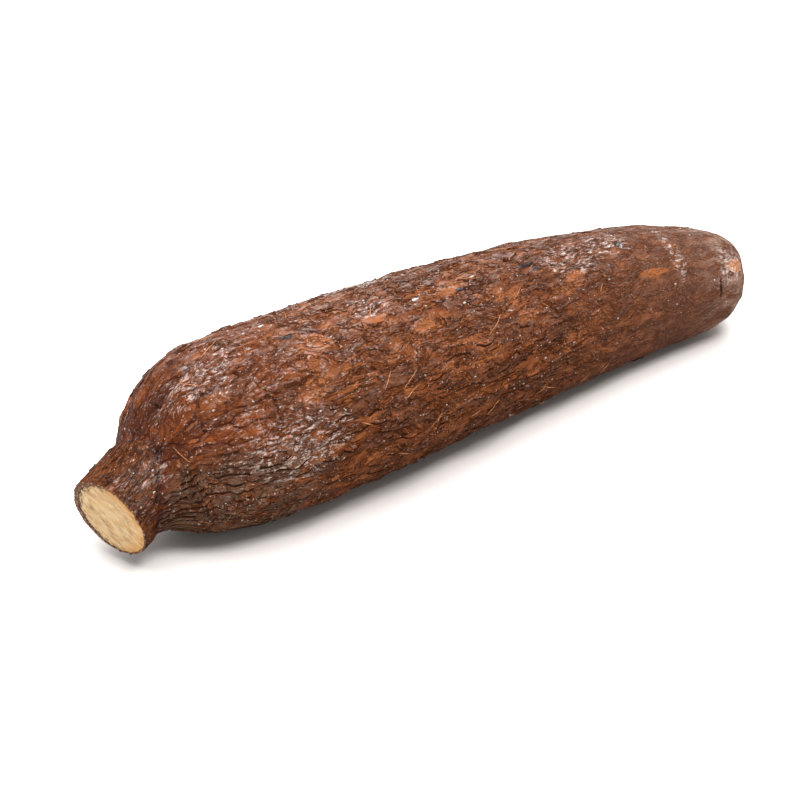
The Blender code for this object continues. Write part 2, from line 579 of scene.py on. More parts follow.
shape = RootShape(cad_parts[NODE])
base, along, turns = shape.skin(COLUMNS, RING_STEP)
bark = Bark(base, along, turns)
skin = bark.surface()
skin[..., 2] = np.maximum(skin[..., 2], FLOOR_GAP)


# ---------------------------------------------------------------------------------------------
# Making pieces


def place_in_scene(name, data):
    thing = bpy.data.objects.new(name, data)
    bpy.context.scene.collection.objects.link(thing)
    return thing


def add_piece(name, mesh, finish):
    """A piece of the root: it rides on the body and stands for the solid."""
    piece = place_in_scene(name, mesh)
    mesh.materials.append(finish)
    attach(piece, BODY)
    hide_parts(NODE)


def store(mesh, name, values):
    """A number or a vector for each vertex, for the finish to read."""
    values = np.asarray(values, np.float32)
    vector = values.ndim == 2
    attribute = mesh.attributes.new(name, "FLOAT_VECTOR" if vector else "FLOAT", "POINT")
    attribute.data.foreach_set("vector" if vector else "value", values.ravel())


def store_grid(mesh, stored):
    """Stores values given by ring and column. A tip takes the last one."""
    for key, values in stored.items():
        flat = values.reshape(-1, 3) if values.ndim == 3 else values.reshape(-1)
        spare = len(mesh.vertices) - len(flat)
        store(mesh, key, np.concatenate([flat, np.repeat(flat[-1:], spare, axis=0)]))


def grid_faces(rings, columns):
    """Faces between rings that close round, facing outwards."""
    ring, column = np.meshgrid(np.arange(rings - 1), np.arange(columns), indexing="ij")
    after = (column + 1) % columns
    near, far = ring * columns, (ring + 1) * columns
    return np.stack([near + column, near + after, far + after, far + column], -1).reshape(-1, 4)


def grid_unwrap(mesh, rings, columns):
    """Lays the rings out flat as one rectangle."""
    layer = mesh.uv_layers.new(name="OFBake")
    ring, column = np.meshgrid(np.arange(rings - 1), np.arange(columns), indexing="ij")
    u = np.stack([column, column + 1, column + 1, column], -1) / columns
    v = np.stack([ring, ring, ring + 1, ring + 1], -1) / (rings - 1)
    inset = 0.004
    flat = np.stack([u, v], -1).reshape(-1, 2) * (1 - 2 * inset) + inset
    spare = len(mesh.loops) - len(flat)
    if spare:
        flat = np.concatenate([flat, np.full((spare, 2), 1 - inset / 2)])
    layer.data.foreach_set("uv", flat.astype(np.float32).ravel())


def grid_mesh(name, points, normals=None, tip=None):
    """A mesh of closed rings, and a point that closes its far end if a tip is given."""
    rings, columns = points.shape[:2]
    vertices = points.reshape(-1, 3) * MM
    faces = grid_faces(rings, columns).tolist()
    if tip is not None:
        vertices = np.concatenate([vertices, tip[None] * MM])
        last = (rings - 1) * columns
        faces += [(last + j, last + (j + 1) % columns, len(vertices) - 1) for j in range(columns)]
    mesh = bpy.data.meshes.new(name)
    mesh.from_pydata(vertices.tolist(), [], faces)
    mesh.shade_smooth()
    grid_unwrap(mesh, rings, columns)
    if normals is not None:
        flat = normals.reshape(-1, 3)
        if tip is not None:
            flat = np.concatenate([flat, flat[-1:]])
        mesh.normals_split_custom_set_from_vertices(flat.tolist())
    return mesh


# ---------------------------------------------------------------------------------------------
# Finishes


class Signal:
    """A value in a finish. Arithmetic on it adds Math nodes."""

    def __init__(self, finish, socket):
        self.finish = finish
        self.socket = socket

    def math(self, operation, first, second):
        return self.finish.node("ShaderNodeMath", {"operation": operation}, {0: first, 1: second})

    def __add__(self, other):
        return self.math("ADD", self, other)

    def __sub__(self, other):
        return self.math("SUBTRACT", self, other)

    def __rsub__(self, other):
        return self.math("SUBTRACT", other, self)

    def __mul__(self, other):
        return self.math("MULTIPLY", self, other)

    __radd__ = __add__
    __rmul__ = __mul__


HALVES = (0.5, 0.5, 0.5)


class Finish:
    """A material in the making, with one Principled shader."""

    def __init__(self, name, **constants):
        self.material = bpy.data.materials.new(name)
        self.material.use_nodes = True
        self.tree = self.material.node_tree
        self.shader = self.tree.nodes["Principled BSDF"]
        for socket, value in constants.items():
            self.shader.inputs[socket.replace("_", " ")].default_value = value

    def node(self, kind, settings=None, sockets=None, result=0):
        """Any node: its settings first, then the values or links of its sockets."""
        made = self.tree.nodes.new(kind)
        for name, value in (settings or {}).items():
            if name == "stops":
                self.set_stops(made.color_ramp, value)
            else:
                setattr(made, name, value)
        for key, value in (sockets or {}).items():
            self.feed(self.find(made.inputs, key), value)
        return Signal(self, self.find(made.outputs, result))

    @staticmethod
    def find(sockets, key):
        if isinstance(key, int):
            return sockets[key]
        return next(socket for socket in sockets if socket.name == key and socket.enabled)

    def feed(self, socket, value):
        if isinstance(value, Signal):
            self.tree.links.new(value.socket, socket)
        else:
            socket.default_value = value

    @staticmethod
    def set_stops(ramp, stops):
        while len(ramp.elements) < len(stops):
            ramp.elements.new(0.5)
        for element, (place, colour) in zip(ramp.elements, stops):
            element.position = place
            element.color = colour

    def stored(self, name, result="Fac"):
        """A number that the mesh keeps for each vertex."""
        return self.node("ShaderNodeAttribute", {"attribute_name": name}, result=result)

    def stored_vector(self, name):
        return self.stored(name, "Vector")

    def vector_math(self, operation, first, second, result=0):
        return self.node("ShaderNodeVectorMath", {"operation": operation}, {0: first, 1: second}, result)

    def stretch(self, vector, scale):
        return self.vector_math("MULTIPLY", vector, scale)

    def cloud(self, vector, scale, detail=3.0, roughness=0.55, distortion=0.0):
        """Soft noise from 0 to 1."""
        sockets = {"Vector": vector, "Scale": scale, "Detail": detail}
        sockets.update({"Roughness": roughness, "Distortion": distortion})
        return self.node("ShaderNodeTexNoise", {}, sockets, "Fac")

    def shaken(self, vector, scale, amount):
        """A vector moved about by noise."""
        sockets = {"Vector": vector, "Scale": scale, "Detail": 2.0}
        random = self.node("ShaderNodeTexNoise", {}, sockets, "Color")
        moved = self.stretch(self.vector_math("SUBTRACT", random, HALVES), (amount, amount, amount))
        return self.vector_math("ADD", vector, moved)

    def chips(self, vector, scale):
        """Flat chips at slants of their own: their height, about -0.5 to 0.5, and their seams."""
        sockets = {"Vector": vector, "Scale": scale}
        own = self.node("ShaderNodeTexVoronoi", {}, sockets, "Color")
        middle = self.node("ShaderNodeTexVoronoi", {}, sockets, "Position")
        seam = self.node("ShaderNodeTexVoronoi", {"feature": "DISTANCE_TO_EDGE"}, sockets, "Distance")
        away = self.vector_math("SUBTRACT", vector, middle)
        slant = self.vector_math("SUBTRACT", own, HALVES)
        height = self.vector_math("DOT_PRODUCT", away, slant, "Value")
        return height * scale, 1 - self.between(seam, 0.02, 0.13)

    def between(self, value, low, high, start=0.0, end=1.0):
        """A value's share of the way from low to high, eased, as a number from start to end."""
        sockets = {"Value": value, "From Min": low, "From Max": high, "To Min": start, "To Max": end}
        return self.node("ShaderNodeMapRange", {"interpolation_type": "SMOOTHSTEP"}, sockets)

    def blend(self, share, first, second):
        """The first colour, with a share of the second laid over it."""
        sockets = {"Factor": share, "A": first, "B": second}
        return self.node("ShaderNodeMix", {"data_type": "RGBA"}, sockets, "Result")

    def overlay(self, colour, tints):
        """A colour with tints laid over it in turn, each given as its share and its colour."""
        for share, tint in tints:
            colour = self.blend(share, colour, tint)
        return colour

    def size_of(self, value):
        return self.node("ShaderNodeMath", {"operation": "ABSOLUTE"}, {0: value})

    def larger(self, first, second):
        return self.node("ShaderNodeMath", {"operation": "MAXIMUM"}, {0: first, 1: second})

    def ramp(self, value, stops):
        return self.node("ShaderNodeValToRGB", {"stops": stops}, {"Fac": value}, "Color")

    def finish_with(self, colour, roughness, relief, strength, depth):
        """Feeds the shader its colour, roughness and relief, the last in metres."""
        sockets = {"Height": relief, "Strength": strength, "Distance": depth}
        self.normal = self.node("ShaderNodeBump", {}, sockets, "Normal")
        self.colour = colour
        self.feed(self.shader.inputs["Base Color"], colour)
        self.feed(self.shader.inputs["Roughness"], roughness)
        self.feed(self.shader.inputs["Normal"], self.normal)
        return self.material

    def shine(self, share, reflection, roughness):
        """Mixes in a shinier copy of the shader by a share."""
        sockets = {"Base Color": self.colour, "Normal": self.normal}
        sockets.update({"Specular IOR Level": reflection, "Roughness": roughness})
        shiny = self.node("ShaderNodeBsdfPrincipled", {}, sockets, "BSDF")
        dull = Signal(self, self.shader.outputs["BSDF"])
        mixed = self.node("ShaderNodeMixShader", {}, {0: share, 1: dull, 2: shiny})
        self.feed(self.tree.nodes["Material Output"].inputs["Surface"], mixed)
        return self.material


def rgb(red, green, blue):
    return (red, green, blue, 1.0)


PEEL_ORANGE = rgb(0.215, 0.070, 0.023)
INNER_BROWN = rgb(0.100, 0.028, 0.0085)
OUTER_BROWN = rgb(0.068, 0.018, 0.005)
FILM_LIGHT = rgb(0.106, 0.044, 0.025)
FILM_DARK = rgb(0.054, 0.018, 0.0082)
RUST = rgb(0.205, 0.046, 0.007)
AMBER = rgb(0.200, 0.048, 0.006)
DARK_RUST = rgb(0.062, 0.013, 0.002)
NECK_BROWN = rgb(0.128, 0.037, 0.010)
NECK_DARK = rgb(0.030, 0.010, 0.005)
BELLY_GREY = rgb(0.100, 0.062, 0.038)
TAIL_BROWN = rgb(0.090, 0.039, 0.024)
SCAR_ORANGE = rgb(0.36, 0.14, 0.06)
SHADED_BROWN = rgb(0.058, 0.020, 0.009)
TAIL_DUST = rgb(0.260, 0.160, 0.120)
# dark brown of the cracks, also used for painted shade and painted shadow on the bark
CRACK_AND_SHADE = rgb(0.016, 0.0038, 0.0010)
WAX = rgb(0.42, 0.34, 0.31)
SLATE = rgb(0.018, 0.020, 0.024)
PLUM = rgb(0.026, 0.009, 0.011)
STRAW = rgb(0.47, 0.315, 0.150)
STRAW_PALE = rgb(0.60, 0.46, 0.275)
GOLD = rgb(0.50, 0.26, 0.080)
TAN = rgb(0.36, 0.205, 0.085)
PORE = rgb(0.13, 0.115, 0.085)
EDGE_BROWN = rgb(0.10, 0.045, 0.022)
EDGE_PALE = rgb(0.30, 0.21, 0.14)
WAX_SHADE = rgb(0.17, 0.115, 0.10)
WAX_PALE = rgb(0.36, 0.31, 0.29)
FIBRE_TAN = rgb(0.46, 0.20, 0.085)


def bark_masks(f):
    """What the mesh keeps of the bark, and the patterns that several layers of its finish follow."""
    on = SimpleNamespace(**{name: f.stored(name) for name in BARK_NUMBERS})
    on.grain = f.stored_vector("grain")
    on.long = f.stored_vector("long")
    on.fibre = f.cloud(on.long, 1.1, 4.0, 0.55)
    on.mottle = f.cloud(on.long, 0.26, 4.0, 0.6)
    shaken = f.shaken(on.long, 0.8, 0.7)
    on.large_chips, on.large_seam = f.chips(shaken, 0.32)
    on.small_chips, on.small_seam = f.chips(shaken, 0.85)
    return on


def mark_cracks(f, on):
    """How dark the bark's lines are painted: thin cracks with painted shadow lines under the ledges, painted
    shadow at the feet of the torn layers, and all together.
    """
    hair = 1 - f.between(f.size_of(f.cloud(on.long, 0.60, 3.0, 0.6, 0.5) - 0.5), 0.012, 0.045)
    hair = hair * f.between(f.cloud(on.long, 0.3, 2.0, 0.5), 0.38, 0.50)
    strand = 1 - f.between(f.size_of(f.cloud(on.long, 1.2, 2.0, 0.5) - 0.5), 0.01, 0.06)
    seams = f.larger(on.large_seam * 0.9, on.small_seam * 0.3) * (0.10 + on.shoulder * 0.35 - on.belly * 0.3)
    plates = f.larger(1 - f.between(on.plate_in, 0.20, 0.38), 0.6 - f.between(on.chip_in, 0.10, 0.26))
    parted = f.between(f.cloud(on.long, 0.40, 2.0, 0.5), 0.44, 0.54, 0.10, 0.9)
    plates = plates * on.shoulder * (1 - on.belly * 0.8) * f.larger(parted, on.near_fold * 0.75)
    # painted shadow: a dark line at the foot of each ledge, under the ledge above it
    ledges = (1 - f.between(f.size_of(on.ledge_foot), 0.28, 0.46)) * on.ledge_share
    thin = f.larger(hair * 0.8, f.larger(seams, strand * on.neck * 0.8)) * (1 - on.peeled)
    on.thin = f.larger(thin, f.larger(plates, ledges))
    broken = f.between(f.cloud(on.long, 0.30, 3.0, 0.6), 0.34, 0.46, 0.25, 1.0)
    # painted shadow: darker at the foot of each torn layer's edge, under the lifted edge
    foot = f.between(on.edge, -0.50, -0.25) * (1 - f.between(on.edge, 0.0, 0.12)) * broken
    on.foot = foot * (1 - on.small * 0.5) * (1 - on.shoulder * 0.5) * (1 - on.ledge_share * 0.6)
    # depth: real cracks, plate lines and the crease, together with the painted shadows and the painted
    # hollow shade
    depth = f.larger(on.crack, f.larger(on.foot * 0.9, on.thin)) * (1 - on.tail * 0.6) * (1 - on.neck * 0.35)
    on.depth = f.larger(depth, on.crease)


def bark_ground(f, on):
    """The inner bark, from orange to brown, with the duller outer film that has flaked off in places."""
    warmth = (on.tone - 0.5) * (0.35 + on.shoulder * 0.6) + (on.mottle - 0.5) * (0.6 - on.shoulder * 0.2)
    warmth = warmth + on.level * 0.08 + (on.fibre - 0.5) * (0.3 - on.shoulder * 0.2)
    warmth = warmth + on.large_chips * 0.5 + on.neck * 0.15 + on.belly * 0.2 + on.fold * 0.2 + 0.48
    inner = f.ramp(warmth, [(0.08, PEEL_ORANGE), (0.46, INNER_BROWN), (0.82, OUTER_BROWN)])
    inner = f.blend(on.shoulder * (1 - on.belly) * 0.6, inner, RUST)
    inner = f.blend(on.peeled * 0.7, inner, PEEL_ORANGE)
    outer = f.ramp(on.fibre, [(0.36, FILM_LIGHT), (0.66, FILM_DARK)])
    broad = f.cloud(on.grain, 0.045, 2.0, 0.5)
    cover = on.level * 0.26 + (on.mottle - 0.5) * 0.8 + (broad - 0.5) * 0.7 + (on.fibre - 0.5) * 0.25
    most = 0.70 - on.shoulder * 0.25 - on.near_fold * 0.30 + on.belly * 0.3 - on.tail * 0.25
    return f.blend(f.between(cover, -0.20, 0.10) * (1 - on.peeled) * most, inner, outer)


def bark_tints(f, on):
    """Colours of the regions, the named places and the cracks, each with its share. The upward-facing
    shoulder gets painted shade, and the cracks' colour also paints shadow and hollow shade.
    """
    amber = f.blend(f.between(on.tone, 0.38, 0.66), DARK_RUST, AMBER)
    bast = f.blend(f.between(f.cloud(on.long, 0.8, 3.0, 0.6), 0.46, 0.58), NECK_BROWN, NECK_DARK)
    return [
        (on.near_fold * f.between(on.mottle, 0.36, 0.60, 0.60, 0.92), amber),
        (on.neck * 0.7, bast),
        (on.belly * f.between(on.mottle, 0.36, 0.58) * 0.55, BELLY_GREY),
        (on.tail * 0.65 * (1 - on.peeled), TAIL_BROWN),
        (on.dusty * f.between(on.mottle, 0.36, 0.62) * 0.6, TAIL_DUST),
        (f.between(on.scar, 0.02, 0.25) * 0.6, WAX),
        (f.between(on.scar, 0.35, 0.50), SCAR_ORANGE),
        # painted shade: the shoulder is darkened where it faces up
        (on.upper * on.shoulder * (1 - on.neck) * 0.42, SHADED_BROWN),
        (f.between(on.smudge, 0.22, 0.50) * 0.92, SLATE),
        (on.fold * f.between(on.mottle, 0.42, 0.56) * 0.7, PLUM),
        # cracks darkened, together with painted shadow under edges and painted shade in hollows
        (on.depth * 0.88, f.blend(on.near_fold * 0.6, CRACK_AND_SHADE, PLUM)),
    ]


def bark_wax(f, on):
    """White wax on the lips and crests of the layers, partly painted highlight where raised edges catch the
    light; painted glints in white over the upward-facing tops; and wax caked in the powdered places, one of
    which is painted sheen.
    """
    lip = f.between(on.edge, -0.02, 0.12) * (1 - f.between(on.edge, 0.18, 0.45))
    fleck = f.between(f.cloud(on.grain, 0.85, 3.0, 0.7), 0.60, 0.66)
    painted_glints = f.between(f.cloud(on.long, 1.5, 2.0, 0.6), 0.62, 0.66) * f.between(on.mottle, 0.44, 0.56)
    patchy = f.between(f.cloud(on.long, 0.9, 4.0, 0.7), 0.50, 0.60)
    return [
        # white wax flecks on lips and crests: partly real wax, partly painted highlight on edges that catch
        # the light
        (f.larger(lip * 0.7, on.crest * 0.5) * fleck * (1 - on.tail * 0.6), WAX),
        # painted glints: white flecks laid only where the surface faces up
        (painted_glints * on.upper * (0.2 + on.shoulder * 0.6) * (1 - on.depth), WAX),
        # caked wax in the powdered places, with painted sheen in the neck's place
        (on.powder * patchy * (1 - on.depth) * (0.75 - on.neck * 0.45), WAX),
    ]


def bark_relief(f, on):
    """The slant of the chips, the fine fibres and the thin cracks."""
    rugged = 0.18 + on.shoulder * 0.77 - on.near_fold * 0.35 - on.tail * 0.10 - on.neck * 0.05
    slants = (on.large_chips + on.small_chips * 0.3) * rugged
    fine = on.fibre * 0.3 + f.cloud(on.long, 3.0, 2.0, 0.5) * 0.2 + f.cloud(on.grain, 1.6, 2.0, 0.5) * 0.15
    return slants + fine * (0.65 - on.shoulder * 0.3) - on.thin * 0.5 - on.foot * 0.5


def bark_sheen(f, on):
    """Share of gloss: waxed on top and on the neck, glazed on the shoulder and on the crests by the fold."""
    waxed = f.between(f.cloud(on.long, 0.5, 3.0, 0.6), 0.49, 0.59)
    glazed = f.between(f.cloud(on.long, 0.7, 3.0, 0.6), 0.52, 0.60)
    top = on.upper * (0.10 + waxed * 0.60) * (1 - on.shoulder * 0.3) * (1 - on.neck)
    neck = on.neck_shine * (0.25 + waxed * 0.6) + on.crust * glazed * 0.6
    sheen = waxed * 0.05 + glazed * on.shoulder * 0.55 + top + neck + 0.02
    sheen = sheen * (1 - on.near_fold * 0.5) + on.near_fold * on.crest * glazed * 0.8
    return sheen * (1 - on.depth) * (1 - on.under * 0.6) * (1 - on.tail * 0.3)


def bark_finish():
    f = Finish("cassava_bark", Specular_IOR_Level=0.02)
    on = bark_masks(f)
    mark_cracks(f, on)
    colour = f.overlay(bark_ground(f, on), bark_tints(f, on) + bark_wax(f, on))
    roughness = f.between(on.fibre, 0.2, 0.8, 0.55, 0.75)
    f.finish_with(colour, roughness, bark_relief(f, on), 1.0, 0.00065)
    return f.shine(bark_sheen(f, on), 0.7, 0.28)


# ---------------------------------------------------------------------------------------------
# The bark skin


# What the bark's mesh keeps for each vertex
BARK_NUMBERS = ["neck", "neck_shine", "near_fold", "fold", "shoulder", "belly", "upper", "under"]
BARK_NUMBERS += ["tail", "dusty", "tone", "plate_in", "chip_in", "level", "edge", "small"]
BARK_NUMBERS += ["ledge_foot", "ledge_share", "crack", "crest", "peeled", "powder"]
BARK_NUMBERS += ["smudge", "scar", "crease", "crust"]
BARK_VECTORS = ["grain", "long"]


def make_bark(bark, skin, finish):
    """The bark in lengths that share their end rings. The last one closes at the tail."""
    normals = outward(skin)
    cuts = np.linspace(0, len(skin) - 1, len(LENGTHS) + 1).astype(int)
    for name, first, last in zip(LENGTHS, cuts, cuts[1:]):
        rows = slice(first, last + 1)
        tip = skin[-1].mean(axis=0) if last == len(skin) - 1 else None
        mesh = grid_mesh(name, skin[rows], normals[rows], tip)
        store_grid(mesh, {key: getattr(bark, key)[rows] for key in BARK_NUMBERS + BARK_VECTORS})
        add_piece(name, mesh, finish)


bark_material = bark_finish()
make_bark(bark, skin, bark_material)


class SawnFace:
    """The neck's cut: directions in its plane, its outline, and the bark's edge round the wood."""

    def __init__(self, shape, rim):
        self.centre = shape.face_centre
        self.normal = shape.face_normal
        side = unit(np.cross(self.normal, [0.0, 0.0, 1.0]))
        if side[1] < 0:
            side = -side
        up = unit(np.array([0.0, 0.0, 1.0]) - self.normal[2] * self.normal)
        self.streak = up * math.cos(STREAK_TURN) + side * math.sin(STREAK_TURN)
        self.across = np.cross(self.streak, self.normal)
        self.rim = rim - self.normal * ((rim - self.centre) @ self.normal)[:, None]

    def flat(self, points):
        """Place in the face's plane: along the streaks, across them, and nothing."""
        away = points - self.centre
        return np.stack([away @ self.streak, away @ self.across, 0 * away[..., 0]], axis=-1)

    def edge_width(self):
        """Width of the bark's edge round the face, wider towards the streaks' upper end."""
        place = self.flat(self.rim)
        wider = ease(-4.0, 15.0, place[:, 0] - 0.5 * place[:, 1])
        return RIM_WIDTH * (1 + 0.35 * noise(place / 4.0, 201) + 2.4 * wider)

    def inward(self, distance):
        """The outline, moved in by a distance."""
        out = self.rim - self.centre
        length = np.linalg.norm(out, axis=-1)
        return self.centre + out * (1 - distance / length)[:, None]


# Profile of the bark's sawn edge: share of its width inwards, height over the cut
EDGE_PROFILE = [(0.0, -0.45), (0.12, -0.12), (0.35, 0.05), (0.60, -0.02), (0.78, -0.45), (1.0, -0.5)]
EDGE_PROFILE += [(RIM_REACH, -0.45)]


def make_bark_edge(face, finish):
    """The bark's sawn edge: a rough lip, then the groove that parts it from the wood."""
    width = face.edge_width()
    stops, heights = np.array(EDGE_PROFILE).T
    shares = np.linspace(RIM_REACH, 0.0, RIM_RINGS)
    rings = []
    for share in shares:
        points = face.inward(share * width)
        rough = 0.22 * layered_noise(face.flat(points) / 1.1, 211, 3) * bump(0.45, 0.4, share)
        rings.append(points + face.normal * (np.interp(share, stops, heights) + rough)[:, None])
    points = np.array(rings)
    mesh = grid_mesh("bark_edge", points)
    store_grid(mesh, {"place": face.flat(points), "share": shares[:, None] + 0 * points[..., 0]})
    add_piece("bark_edge", mesh, finish)


# Grey marks in the wood: mm along the streaks from its middle, mm across them, length, width
FACE_MARKS = [
    (7.1, -3.1, 1.8, 0.7),
    (-6.0, 0.8, 2.6, 0.5),
    (-8.6, -7.9, 1.5, 0.5),
    (13.6, 0.0, 1.0, 0.9),
    (0.5, -4.0, 2.0, 0.35),
]


def make_wood(face, finish):
    """The woody core: a disc that drops off at its edge, with saw marks, rough fibres and short splits."""
    outline = face.inward(face.edge_width() * 0.86)
    picks = np.linspace(0, len(outline), WOOD_COLUMNS, endpoint=False)
    outline = interpolate(picks, np.arange(len(outline) + 1), np.concatenate([outline, outline[:1]]))
    shares = np.concatenate([[1.0, 1.0], np.linspace(0.985, 0.01, WOOD_RINGS)])[:, None]
    points = face.centre + (outline[None] - face.centre) * shares[..., None]
    place = face.flat(points)
    saw = 0.05 * np.sin(place[..., 1] * 4.2 + 1.4 * noise(place / 7.0, 221))
    rough = 0.10 * layered_noise(place * (0.35, 1.0, 1.0) / 0.9, 223, 3)
    split = bump(0.0, 0.05, noise(place * (0.16, 0.8, 1.0), 225))
    split = split * ease(0.15, 0.45, noise(place / 5.0, 227))
    height = saw + rough - 0.35 * split - 0.35 * ease(0.86, 1.0, shares)
    height[0] = -0.9
    height[1] = -0.35
    points = points + face.normal * height[..., None]
    tip = face.centre + face.normal * height[-1].mean()
    mesh = grid_mesh("sawn_face", points, tip=tip)
    low_side = ease(-3.0, 5.0, 0.5 * place[..., 1] - 0.7 * place[..., 0])
    marks = np.zeros_like(split)
    for middle, side, length, width in FACE_MARKS:
        reach = ((place[..., 0] - middle) / length) ** 2 + ((place[..., 1] - side) / width) ** 2
        marks = np.maximum(marks, np.exp(-reach))
    store_grid(mesh, {"place": place, "share": shares + 0 * split})
    store_grid(mesh, {"split": split, "low_side": low_side, "marks": marks})
    add_piece("sawn_face", mesh, finish)


def wood_finish():
    f = Finish("sawn_wood", Specular_IOR_Level=0.2)
    place = f.stored_vector("place")
    share, split, low_side, marks = (f.stored(name) for name in ("share", "split", "low_side", "marks"))
    streaky = f.cloud(f.stretch(place, (0.22, 1.0, 1.0)), 0.9, 4.0, 0.65)
    grainy = f.cloud(place, 2.4, 3.0, 0.7)
    blotch = f.cloud(place, 0.18, 3.0, 0.55)
    curdled = f.cloud(f.stretch(place, (0.35, 1.0, 1.0)), 0.36, 4.0, 0.6)
    middle = 1 - f.between(share, 0.30, 0.80)
    ring = f.between(share, 0.56, 0.62) * (1 - f.between(share, 0.64, 0.72)) * low_side
    dash = f.between(f.cloud(f.stretch(place, (0.30, 1.3, 1.0)), 1.0, 2.0, 0.5), 0.57, 0.63)
    pores = dash * f.between(f.cloud(place, 0.13, 1.0, 0.5), 0.44, 0.56) * 0.6
    rim_spot = f.between(share, 0.80, 0.95) * f.between(f.cloud(place, 0.5, 3.0, 0.65), 0.48, 0.55)
    colour = f.ramp(streaky * 0.55 + grainy * 0.45, [(0.36, TAN), (0.48, STRAW), (0.62, STRAW_PALE)])
    tints = [
        (f.between(blotch, 0.48, 0.64) * 0.40, GOLD),
        (middle * f.between(blotch, 0.62, 0.40) * 0.45, STRAW_PALE),
        (f.between(share, 0.70, 0.96) * low_side * 0.85, GOLD),
        (ring * f.between(streaky, 0.38, 0.55) * 0.6, TAN),
        (f.larger(pores, marks * f.between(streaky, 0.40, 0.52)), PORE),
        (f.between(curdled, 0.50, 0.62) * 0.65, STRAW_PALE),
        (f.between(curdled, 0.46, 0.34) * 0.60, TAN),
        (split * 0.5, TAN),
        (rim_spot * (1 - low_side) * 0.9, EDGE_BROWN),
    ]
    relief = grainy * 0.5 + streaky * 0.4 - dash * 0.4
    roughness = f.between(streaky, 0.3, 0.7, 0.62, 0.8)
    return f.finish_with(f.overlay(colour, tints), roughness, relief, 0.6, 0.0004)


def edge_finish():
    f = Finish("sawn_bark_edge", Specular_IOR_Level=0.15)
    place = f.stored_vector("place")
    share = f.stored("share")
    rough = f.cloud(place, 1.1, 4.0, 0.7)
    groove = f.between(share, 0.66, 0.80)
    pale = f.between(share, 0.42, 0.55) * (1 - groove)
    colour = f.ramp(rough, [(0.36, EDGE_BROWN), (0.52, INNER_BROWN), (0.66, EDGE_PALE)])
    colour = f.blend(groove * 0.9, colour, CRACK_AND_SHADE)
    colour = f.blend(pale * f.between(rough, 0.45, 0.55) * 0.6, colour, EDGE_PALE)
    f.finish_with(colour, f.between(rough, 0.3, 0.7, 0.75, 0.6), rough, 0.8, 0.0006)
    return f.shine(f.between(rough, 0.48, 0.66) * 0.6, 0.6, 0.3)


face = SawnFace(shape, skin[0])
make_bark_edge(face, edge_finish())
make_wood(face, wood_finish())


# ---------------------------------------------------------------------------------------------
# Loose bits on the bark: torn flakes, crumbs of wax and fibres, each a small closed tube


def tubes_mesh(name, points):
    """Many closed tubes in one mesh. The points run over tubes, rings and columns; a fan closes each end."""
    count, rings, columns = points.shape[:3]
    tips = points[:, [0, -1]].mean(axis=2)
    vertices = np.concatenate([points.reshape(count, -1, 3), tips], axis=1)
    size = vertices.shape[1]
    quads = grid_faces(rings, columns)
    column = np.arange(columns)
    after = (column + 1) % columns
    last = (rings - 1) * columns
    near_fan = np.stack([after, column, 0 * column + size - 2], -1)
    far_fan = np.stack([last + column, last + after, 0 * column + size - 1], -1)
    starts = (np.arange(count) * size)[:, None, None]
    faces = (quads + starts).reshape(-1, 4).tolist()
    for fan in (near_fan, far_fan):
        faces += (fan + starts).reshape(-1, 3).tolist()
    mesh = bpy.data.meshes.new(name)
    mesh.from_pydata((vertices.reshape(-1, 3) * MM).tolist(), [], faces)
    tubes_unwrap(mesh, count, rings, columns)
    return mesh


def tubes_unwrap(mesh, count, rings, columns):
    """Lays each tube out flat in its own cell of a square."""
    across = math.ceil(math.sqrt(count))
    tube = np.arange(count)
    corner = np.stack([tube % across, tube // across], -1)[:, None, None, :] / across
    ring, column = np.meshgrid(np.arange(rings - 1), np.arange(columns), indexing="ij")
    u = np.stack([column, column + 1, column + 1, column], -1) / columns
    v = (np.stack([ring, ring, ring + 1, ring + 1], -1) + 1) / (rings + 1)
    u, v = u.reshape(-1, 4), v.reshape(-1, 4)
    side = np.arange(columns)
    before, behind, middle = side / columns, (side + 1) / columns, (side + 0.5) / columns
    first, last = 1 / (rings + 1), rings / (rings + 1)
    near_fan = [np.stack([behind, before, middle], -1), np.tile([first, first, 0.0], (columns, 1))]
    far_fan = [np.stack([before, behind, middle], -1), np.tile([last, last, 1.0], (columns, 1))]
    margin = 0.08
    flat = []
    for shape_u, shape_v in ([u, v], near_fan, far_fan):
        cell = np.stack([shape_u, shape_v], -1) * (1 - 2 * margin) + margin
        flat.append((corner + cell[None] / across).reshape(-1, 2))
    layer = mesh.uv_layers.new(name="OFBake")
    layer.data.foreach_set("uv", np.concatenate(flat).astype(np.float32).ravel())


def tube_grid(rings, columns):
    """Place along a tube from -1 to 1, by ring, and turn round it, by column."""
    run = np.linspace(-1, 1, rings)[None, :, None]
    around = (np.arange(columns) * math.tau / columns)[None, None, :]
    return run, around


